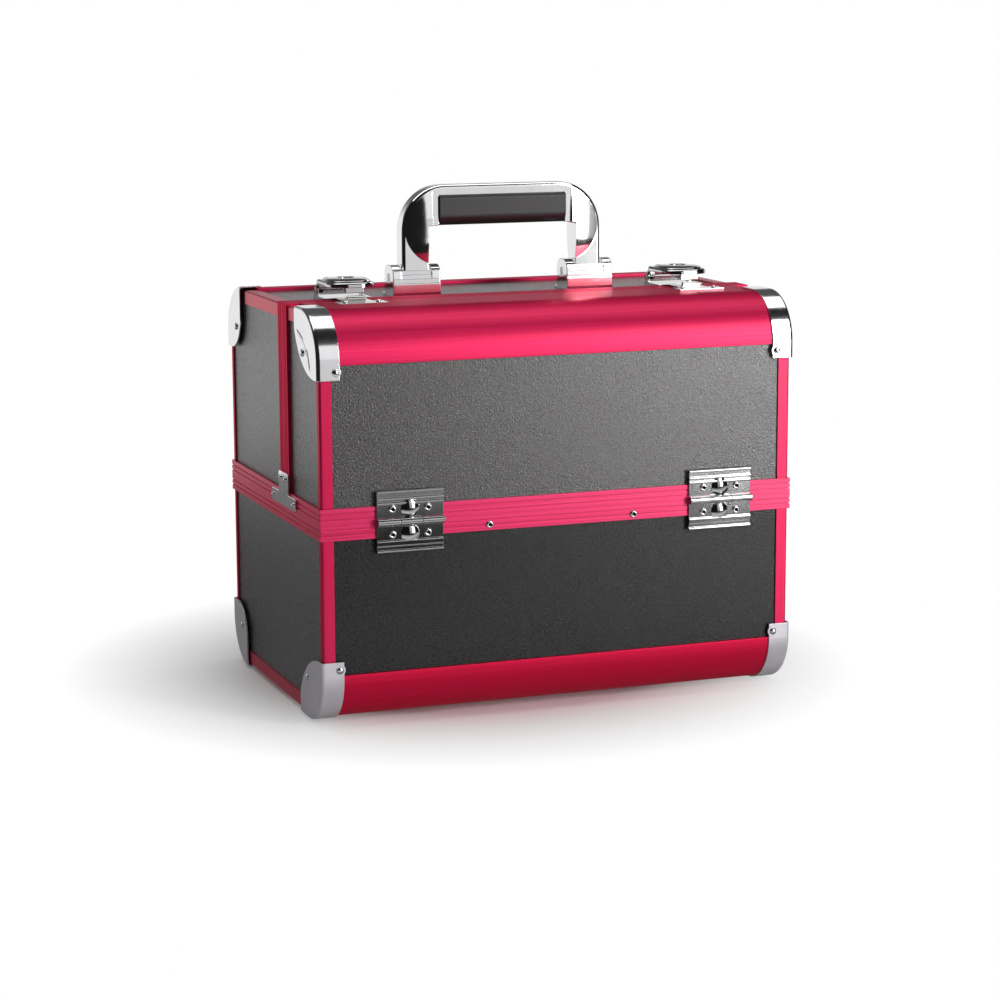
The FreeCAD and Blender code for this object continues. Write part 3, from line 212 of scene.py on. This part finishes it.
def velvet(name):
    """Black pile with a soft nap."""
    made = Shader(name, Roughness=0.95, Sheen_Weight=0.5, Sheen_Roughness=0.4)
    pile = made.noise(even(2600), detail=2.0)
    nap = made.noise(even(25), detail=2.0)
    fine = made.math("MULTIPLY", pile, PILE_SHARE)
    broad = made.math("MULTIPLY", nap, 1 - PILE_SHARE)
    made.colour(made.math("ADD", fine, broad), 0.3, (0.006, 0.006, 0.007), 0.75, (0.026, 0.025, 0.027))
    made.bump(pile, strength=0.5, distance=0.0004)
    return made.material


def moulded(name, dark, light, rough, grain, relief, edge):
    """Black plastic or rubber with a fine grain."""
    made = Shader(name)
    fine = made.noise(grain)
    made.colour(fine, 0.3, dark, 0.75, light)
    made.rough(fine, *rough)
    made.bump(fine, strength=relief, distance=0.0002, edge=edge)
    return made.material


# noise scales: low along the brushing, high across it
ALONG_X = (3, 900, 900)
ALONG_Y = (900, 3, 900)
ALONG_Z = (900, 900, 3)
ROUND_RIM = (3, 3, 900)
OVER_SEAM = (3, 900, 3)

DEEP_RED = (0.58, 0.011, 0.062)
RED = (0.76, 0.025, 0.125)
RIM_RED = (0.60, 0.010, 0.075)
PINK_RED = (0.86, 0.046, 0.190)
# brighter reds of the lighter copy of the red profile for the base's edge: painted light
LOW_DEEP_RED = (0.66, 0.006, 0.045)
LOW_RED = (0.80, 0.012, 0.075)

red_profile = red_metal("red_profile", ALONG_X, DEEP_RED, RED, coat=0.20)
# lighter copy of the red profile for the base's edge profiles, less metallic and brighter red: painted
# light
red_low_profile_painted_light = red_metal("red_low_profile_painted_light", ALONG_X, LOW_DEEP_RED, LOW_RED, coat=0.10, metal=0.62)
red_post = red_metal("red_post", ALONG_Z, DEEP_RED, RED, coat=0.30)
red_angle = red_metal("red_angle", ALONG_Y, DEEP_RED, RED, coat=0.75)
red_rim = red_metal("red_rim", ROUND_RIM, RIM_RED, PINK_RED, coat=0.75)
red_seam = red_metal("red_seam", OVER_SEAM, DEEP_RED, RED, coat=0.10)
board = panel_board("grained_board", shine=1.0, light=(0.108, 0.099, 0.098))
# darker, less glossy copy of the board for the base panels: painted shade
base_board_painted_shade = panel_board("grained_board_painted_shade", shine=0.36, light=(0.034, 0.031, 0.031))
chrome = polished("chrome_plate", (0.92, 0.92, 0.93), rough=(0.05, 0.10), edge=0.0007)
bracket_chrome = polished("bracket_plate", (0.88, 0.88, 0.90), rough=(0.07, 0.13), edge=0.0011)
cap_chrome = polished("cap_plate", (0.90, 0.90, 0.92), rough=(0.11, 0.17), edge=0.0006)
# darker copy of the chrome plating for the hinge leaves: painted shade that stands for their darker
# reflections
hinge_plate_painted_shade = polished("hinge_plate_painted_shade", (0.46, 0.46, 0.46), rough=(0.08, 0.14), edge=0.0004)
nickel = polished("nickel_plate", (0.62, 0.61, 0.61), rough=(0.07, 0.13), edge=0.0004)
rivet_metal = polished("rivet_plate", (0.86, 0.86, 0.87), rough=(0.10, 0.18), edge=0.0002)
satin = polished("satin_plate", (0.66, 0.63, 0.68), rough=(0.36, 0.46), edge=0.0005, metal=0.5)
steel = turned("plain_steel", (0.62, 0.62, 0.63), scale=300)
lock_metal = turned("lock_steel", (0.74, 0.73, 0.70), scale=500)
lining = velvet("black_pile")
tray_black = moulded("tray_black", (0.010, 0.010, 0.011), (0.026, 0.026, 0.027),
                     rough=(0.34, 0.5), grain=even(500), relief=0.25, edge=0.0006)
grip_black = moulded("grip_black", (0.006, 0.005, 0.005), (0.024, 0.020, 0.019),
                     rough=(0.34, 0.5), grain=(25, 700, 700), relief=0.3, edge=0.0008)
foot_black = moulded("foot_black", (0.010, 0.010, 0.010), (0.022, 0.022, 0.022),
                     rough=(0.7, 0.9), grain=even(900), relief=0.3, edge=0.0006)

# finishes of single nodes; every other node takes the finish of its slot
FINISH = {
    # the base's edge profiles take the lighter copy of the red profile: painted light
    "base_edge_profiles": red_low_profile_painted_light,
    "front_lid_top_profile": red_profile,
    "back_lid_top_profile": red_profile,
    "base_corner_posts": red_post,
    "front_lid_corner_posts": red_post,
    "back_lid_corner_posts": red_post,
    "base_bottom_angles": red_angle,
    "front_lid_top_angles": red_angle,
    "back_lid_top_angles": red_angle,
    "base_rim_rails": red_rim,
    "front_lid_rim_rails": red_rim,
    "back_lid_rim_rails": red_rim,
    "front_lid_seam_rails": red_seam,
    "back_lid_seam_rails": red_seam,
    # the base panels take the darker copy of the board: painted shade
    "base_front_panel": base_board_painted_shade,
    "base_back_panel": base_board_painted_shade,
    "front_lid_corner_caps": cap_chrome,
    "back_lid_corner_caps": cap_chrome,
    "handle_brackets": bracket_chrome,
    # the hinge leaves take the darker copy of the plating: painted shade
    "base_hinge_leaves": hinge_plate_painted_shade,
    "front_lid_hinge_leaves": hinge_plate_painted_shade,
    "back_lid_hinge_leaves": hinge_plate_painted_shade,
    "hinge_pins": nickel,
    "latch_bases": nickel,
    "latch_keepers": nickel,
    "left_latch_lever": nickel,
    "right_latch_lever": nickel,
}
BY_SLOT = {
    "black_panel": board,
    "lining": lining,
    "chrome": chrome,
    "satin_steel": satin,
    "steel": steel,
    "lock_metal": lock_metal,
    "tray_plastic": tray_black,
    "grip_rubber": grip_black,
    "foot_rubber": foot_black,
}
slot_of = {part["node"]: part["material_slot"] for part in frame["record"]["subparts"]}
for name, obj in frame["nodes"].items():
    obj.data.materials.clear()
    obj.data.materials.append(FINISH.get(name) or BY_SLOT[slot_of[name]])


# Detail pieces


def piece_from(name, verts, faces, body, material, *, hides=()):
    """A finished mesh piece that rides on a body of the frame."""
    mesh = bpy.data.meshes.new(name)
    mesh.from_pydata(verts, [], faces)
    shape = bmesh.new()
    shape.from_mesh(mesh)
    bmesh.ops.recalc_face_normals(shape, faces=shape.faces)
    shape.to_mesh(mesh)
    shape.free()
    mesh.shade_smooth()
    mesh.materials.append(material)
    obj = bpy.data.objects.new(name, mesh)
    scene.collection.objects.link(obj)
    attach(obj, body)
    if hides:
        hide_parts(*hides)


def skin(rings, start=0, closed_ends=False):
    """Faces between rings of equal length; the ends may be filled."""
    count = len(rings[0])
    verts = [point for ring in rings for point in ring]
    faces = []
    for i in range(len(rings) - 1):
        low = start + i * count
        high = low + count
        for j in range(count):
            k = (j + 1) % count
            faces.append((low + j, low + k, high + k, high + j))
    if closed_ends:
        last = start + (len(rings) - 1) * count
        faces.append(tuple(start + j for j in reversed(range(count))))
        faces.append(tuple(last + j for j in range(count)))
    return verts, faces


def turns(count):
    """Cosine and sine of equal steps round a circle."""
    for j in range(count):
        turn = 2 * math.pi * j / count
        yield math.cos(turn), math.sin(turn)


def islands(obj):
    """Boxes of the separate solids in a node."""
    shape = bmesh.new()
    shape.from_mesh(obj.data)
    seen = set()
    boxes = []
    for first in shape.verts:
        if first in seen:
            continue
        seen.add(first)
        waiting = [first]
        group = []
        while waiting:
            vert = waiting.pop()
            group.append(vert.co.copy())
            for edge in vert.link_edges:
                other = edge.other_vert(vert)
                if other not in seen:
                    seen.add(other)
                    waiting.append(other)
        low = Vector([min(co[i] for co in group) for i in range(3)])
        high = Vector([max(co[i] for co in group) for i in range(3)])
        boxes.append((low, high))
    shape.free()
    return boxes


# radius and height of a head, as shares of the radius and height of the plain rivet
TUBE_HEAD = [(1.25, 0.0), (1.22, 0.45), (1.05, 1.0), (0.82, 1.25), (0.62, 1.15), (0.52, 0.85),
             (0.5, 0.2)]
DOME_HEAD = [(1.22, 0.0), (1.2, 0.3), (1.08, 0.75), (0.85, 1.15), (0.55, 1.42), (0.22, 1.55)]
HEAD_SIDES = 28
# heights and reach of the hinges and rim, and the level that parts up from down, in metres
HINGE_LOW = 0.108
HINGE_HIGH = 0.151
HINGE_REACH = 0.14
MID_HEIGHT = 0.13


def rivet_heads(node, body):
    """Shaped heads for plain rivets: tubular on hinges and rim, domed elsewhere."""
    verts = []
    faces = []
    for low, high in islands(frame["nodes"][node]):
        size = high - low
        middle = (low + high) / 2
        axis = min(range(3), key=lambda i: size[i])
        outward = 1 if middle[axis] > (MID_HEIGHT if axis == 2 else 0) else -1
        normal = Vector([outward if i == axis else 0 for i in range(3)])
        side = Vector([1 if i == (axis + 1) % 3 else 0 for i in range(3)])
        across = normal.cross(side)
        root = middle - normal * size[axis] / 2
        radius = max(size) / 2
        on_hinge = axis == 1 and HINGE_LOW < middle.z < HINGE_HIGH and abs(middle.x) < HINGE_REACH
        rings = []
        for share, rise in (TUBE_HEAD if on_hinge else DOME_HEAD):
            level = root + normal * rise * size[axis]
            rings.append([level + (side * c + across * s) * share * radius for c, s in turns(HEAD_SIDES)])
        more, links = skin(rings, start=len(verts), closed_ends=True)
        verts += more
        faces += links
    piece_from(node + "_heads", verts, faces, body, rivet_metal, hides=(node,))


# share of the way from the rim to the lock, and height over the lever in metres
CROWN_RINGS = [(0.0, 0.0), (0.02, 0.0006), (0.07, 0.0009), (0.12, 0.0006), (0.16, 0.0005),
               (0.21, 0.0009), (0.35, 0.0013), (0.55, 0.0016), (0.75, 0.0018), (0.9, 0.00185),
               (0.97, 0.0017), (1.0, 0.0013), (1.0, 0.0)]
CROWN_SIDES = 72
CROWN_MARGIN = 0.0012
CROWN_POWER = 2.6
LOCK_CLEAR = 0.0004


def latch_crown(hand):
    """Domed oval press on the lever, with a beaded rim and an eye for the lock."""
    low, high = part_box(hand + "_latch_lever")
    lock_low, lock_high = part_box(hand + "_lock_cylinder")
    centre = (Vector(lock_low) + Vector(lock_high)) / 2
    eye = (lock_high[0] - lock_low[0]) / 2 + LOCK_CLEAR
    half_x = min(high[0] - centre.x, centre.x - low[0]) - CROWN_MARGIN
    half_y = min(high[1] - centre.y, centre.y - low[1]) - CROWN_MARGIN
    rings = []
    for share, rise in CROWN_RINGS:
        ring = []
        for c, s in turns(CROWN_SIDES):
            reach = (abs(c) ** CROWN_POWER + abs(s) ** CROWN_POWER) ** (-1 / CROWN_POWER)
            x = (1 - share) * half_x * reach * c + share * eye * c
            y = (1 - share) * half_y * reach * s + share * eye * s
            ring.append(Vector((centre.x + x, centre.y + y, high[2] + rise)))
        rings.append(ring)
    verts, faces = skin(rings)
    piece_from(hand + "_latch_crown", verts, faces, hand + "_latch", nickel)


# crease of the front end lobes as (y, z) on the lobe's face, in metres
CREASE = [(-0.0640, 0.2472), (-0.0721, 0.2435), (-0.0786, 0.2405), (-0.0849, 0.2362),
          (-0.0889, 0.2305), (-0.0928, 0.2236)]
CREASE_HALF = 0.0016
CREASE_RISE = 0.0003
CREASE_STEPS = 40
CREASE_PROFILE = (0, 0.2, 0.4, 0.6, 0.8, 1)
# the ends taper over a quarter of the length, down to a blunt tip
CREASE_TAPER = 4
CREASE_TIP = 0.05
TANGENT_STEP = 0.01
LOBE_FACE = 0.161


def curve_at(points, share):
    """A point of a smooth line through given points."""
    place = share * (len(points) - 1)
    i = min(int(place), len(points) - 2)
    t = place - i
    before = Vector(points[max(i - 1, 0)])
    first = Vector(points[i])
    second = Vector(points[i + 1])
    after = Vector(points[min(i + 2, len(points) - 1)])
    bend = 2 * before - 5 * first + 4 * second - after
    twist = 3 * first - before - 3 * second + after
    return 0.5 * (2 * first + (second - before) * t + bend * t * t + twist * t ** 3)


def lobe_crease(name, sign):
    """Pressed ridge along the lower edge of an end lobe."""
    rings = []
    for i in range(CREASE_STEPS + 1):
        share = i / CREASE_STEPS
        here = curve_at(CREASE, share)
        to_next = curve_at(CREASE, min(share + TANGENT_STEP, 1))
        ahead = to_next - curve_at(CREASE, max(share - TANGENT_STEP, 0))
        across = Vector((-ahead.y, ahead.x)).normalized()
        taper = min(1, CREASE_TAPER * share, CREASE_TAPER * (1 - share))
        swell = math.sin(math.pi * taper / 2) + CREASE_TIP
        ring = []
        for turn in CREASE_PROFILE:
            offset = math.cos(math.pi * turn) * CREASE_HALF * swell
            rise = math.sin(math.pi * turn) * CREASE_RISE * swell
            spot = here + across * offset
            ring.append(Vector((sign * (LOBE_FACE + rise), spot.x, spot.y)))
        rings.append(ring)
    verts, faces = skin(rings, closed_ends=True)
    piece_from(name, verts, faces, "front_lid", cap_chrome)


for body in ("base", "front_lid", "back_lid"):
    rivet_heads(body + "_rivets", body)
for hand in ("left", "right"):
    latch_crown(hand)
for hand, sign in (("left", -1), ("right", 1)):
    lobe_crease(hand + "_lobe_crease", sign)


# Studio


def softbox(name, place, target, width, height, watts):
    """Rectangular lamp that faces a target; lengths in metres."""
    lamp = bpy.data.lights.new(name, "AREA")
    lamp.shape = "RECTANGLE"
    lamp.size = width
    lamp.size_y = height
    lamp.energy = watts
    obj = bpy.data.objects.new(name, lamp)
    scene.collection.objects.link(obj)
    obj.location = place
    obj.rotation_euler = (Vector(target) - obj.location).to_track_quat("-Z", "Y").to_euler()


softbox("overhead", (0, 0.08, 1.5), (0, 0.08, 0), width=2.0, height=0.85, watts=9)
softbox("front_right", (0.950, -1.494, 0.72), (0, 0, 0.72), width=0.39, height=1.62, watts=22)
softbox("front_side", (1.175, -1.324, 0.72), (0, 0, 0.72), width=0.18, height=1.62, watts=0.33)
softbox("front_fill", (0.568, -1.871, 0.95), (0, 0, 0.95), width=0.64, height=1.20, watts=2.1)
softbox("front_low", (0.568, -1.871, 0.08), (0, 0, 0.08), width=0.64, height=0.52, watts=0.72)

# each range: from low to high, mapped to two strengths
BACKDROP_BEHIND = (0.1, 0.5, 0.0, 1.0)
BACKDROP_LOW = (0.10, 0.36, 1.1, 0.10)
ROOM_MIRRORED = 0.012
ROOM_LIGHT = 0.32


def studio_world():
    """White for the camera, a dim room for light, a pale low backdrop behind for mirrors."""
    world = bpy.data.worlds.new("studio")
    world.use_nodes = True
    scene.world = world
    made = Nodes(world.node_tree)
    path = made.add("ShaderNodeLightPath")
    where = made.add("ShaderNodeTexCoord")
    split = made.add("ShaderNodeSeparateXYZ")
    made.link(where.outputs["Generated"], split.inputs[0])
    behind = made.spread(split.outputs["Y"], *BACKDROP_BEHIND, smooth=True)
    low = made.spread(split.outputs["Z"], *BACKDROP_LOW, smooth=True)
    mirrored = made.math("MAXIMUM", made.math("MULTIPLY", behind, low), ROOM_MIRRORED)
    strength = made.add("ShaderNodeMix")
    strength.data_type = "FLOAT"
    strength.inputs["A"].default_value = ROOM_LIGHT
    made.link(path.outputs["Is Glossy Ray"], strength.inputs["Factor"])
    made.link(mirrored, strength.inputs["B"])
    room = made.add("ShaderNodeBackground")
    made.link(strength.outputs["Result"], room.inputs["Strength"])
    white = made.add("ShaderNodeBackground", Color=WHITE)
    seen = made.mix(path.outputs["Is Camera Ray"], room.outputs[0], white.outputs[0])
    made.link(seen, made.add("ShaderNodeOutputWorld").inputs["Surface"])


FLOOR_RADIUS = 0.92
FLOOR_SEGMENTS = 96
FLOOR_CLEAR = 0.0002
FLOOR_GREY = (0.86, 0.86, 0.86, 1)
# a painted white glow, seen by the camera, grows with the distance from its centre and covers the real
# shadow farther out
SHADOW_SHIFT = (0.02, -0.04, 0)
SHADOW_FADE = (0.14, 0.27, 0.05, 1.0)
# painted reflection: a glow that only mirrors see on the floor, brighter to the right, with a bright band
# in front
MIRRORED_RIGHT = (0.08, 0.5, 0.01, 0.30)
MIRRORED_RISE = (-0.46, -0.30, 0.0, 0.9)
MIRRORED_FALL = (-0.26, -0.15, 0.9, 0.16)


def floor_material():
    """White floor: the real shadow near the case, covered farther out by a painted white glow for the
    camera; mirrors see painted reflection tones.
    """
    made = Shader("studio_floor", Roughness=0.6, Base_Color=FLOOR_GREY)
    path = made.add("ShaderNodeLightPath")
    where = made.add("ShaderNodeTexCoord")
    flat = made.add("ShaderNodeMapping", Scale=(1, 1, 0), Location=SHADOW_SHIFT)
    distance = made.add("ShaderNodeVectorMath")
    distance.operation = "LENGTH"
    made.link(where.outputs["Object"], flat.inputs["Vector"])
    made.link(flat.outputs["Vector"], distance.inputs[0])
    # share of painted white glow over the lit floor and its shadow
    painted_glow = made.spread(distance.outputs["Value"], *SHADOW_FADE)
    share = made.math("MULTIPLY", painted_glow, path.outputs["Is Camera Ray"])
    white = made.add("ShaderNodeEmission", Color=WHITE)
    plain = made.mix(share, made.main.outputs["BSDF"], white.outputs[0])

    split = made.add("ShaderNodeSeparateXYZ")
    made.link(where.outputs["Object"], split.inputs[0])
    right = made.spread(split.outputs["X"], *MIRRORED_RIGHT)
    rise = made.spread(split.outputs["Y"], *MIRRORED_RISE)
    fall = made.spread(split.outputs["Y"], *MIRRORED_FALL)
    # the floor glows for mirrors only: painted reflection
    mirrored = made.add("ShaderNodeEmission")
    painted_reflection = made.math("MAXIMUM", right, made.math("MINIMUM", rise, fall))
    made.link(painted_reflection, mirrored.inputs["Strength"])
    seen = made.mix(path.outputs["Is Glossy Ray"], plain, mirrored.outputs[0])
    made.link(seen, made.output.inputs["Surface"])
    return made.material


def floor():
    mesh = bpy.data.meshes.new("floor")
    shape = bmesh.new()
    bmesh.ops.create_circle(shape, cap_ends=True, radius=FLOOR_RADIUS, segments=FLOOR_SEGMENTS)
    shape.to_mesh(mesh)
    shape.free()
    obj = bpy.data.objects.new("floor", mesh)
    scene.collection.objects.link(obj)
    obj.location.z = -FLOOR_CLEAR
    mesh.materials.append(floor_material())


# place in metres, angles in degrees, lens and sensor in millimetres
CAMERA_AT = (-0.61354, -1.64821, 0.43311)
CAMERA_YAW = 20.3188
CAMERA_PITCH = 10.1577
CAMERA_ROLL = -0.2636
CAMERA_LENS = 95.885
SENSOR = 36.0


def camera():
    yaw = math.radians(CAMERA_YAW)
    pitch = math.radians(CAMERA_PITCH)
    roll = math.radians(CAMERA_ROLL)
    reach = math.cos(pitch)
    ahead = Vector((math.sin(yaw) * reach, math.cos(yaw) * reach, -math.sin(pitch)))
    level = Vector((math.cos(yaw), -math.sin(yaw), 0))
    above = level.cross(ahead)
    right = math.cos(roll) * level + math.sin(roll) * above
    up = math.cos(roll) * above - math.sin(roll) * level
    lens = bpy.data.cameras.new("camera")
    lens.sensor_width = SENSOR
    lens.lens = CAMERA_LENS
    obj = bpy.data.objects.new("camera", lens)
    scene.collection.objects.link(obj)
    turn = Matrix((right, up, -ahead)).transposed().to_4x4()
    obj.matrix_world = Matrix.Translation(CAMERA_AT) @ turn
    scene.camera = obj


studio_world()
floor()
camera()
scene.view_settings.view_transform = "Standard"
